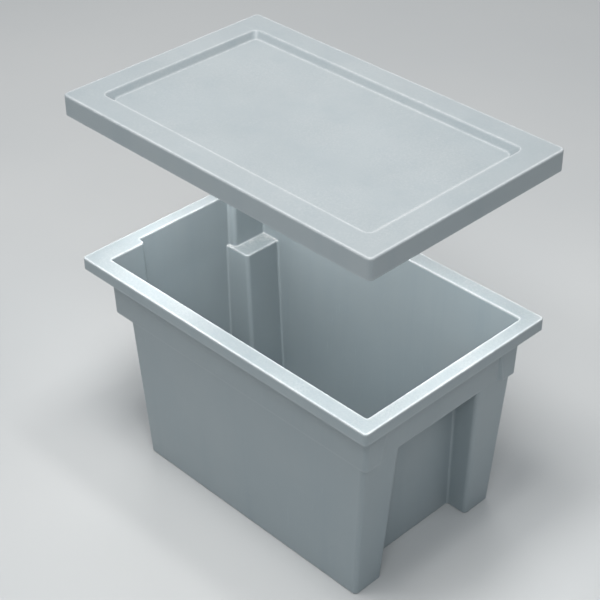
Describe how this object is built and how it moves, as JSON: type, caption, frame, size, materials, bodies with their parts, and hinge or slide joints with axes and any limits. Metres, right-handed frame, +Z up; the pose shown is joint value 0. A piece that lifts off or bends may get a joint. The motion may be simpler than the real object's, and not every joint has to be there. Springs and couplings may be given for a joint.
{
  "type": "stack-and-nest tote with lid",
  "caption": "Rectangular tapered stack-and-nest tote with a lipped rim, corner feet and inner ledges, and a lift-off lid with a sunken panel.",
  "frame": {"origin": "on the ground under the middle of the tote's rim rectangle", "axes": "+X along the tote towards the end with the tall central recess, +Y across it, +Z up, the way the lid lifts off"},
  "size_m": [0.5136, 0.3246, 0.5396],
  "materials": {
    "tote_plastic": "satin moulded grey polyethylene",
    "lid_plastic": "satin moulded grey polyethylene"
  },
  "bodies": {
    "tote": {"tote": "tote_plastic"},
    "lid": {"lid": "lid_plastic"}
  },
  "joints": [
    {"name": "lid_lift", "type": "slide", "parent": "tote", "child": "lid", "axis": [0, 0, 1], "range_m": [-0.2347, 0]}
  ]
}
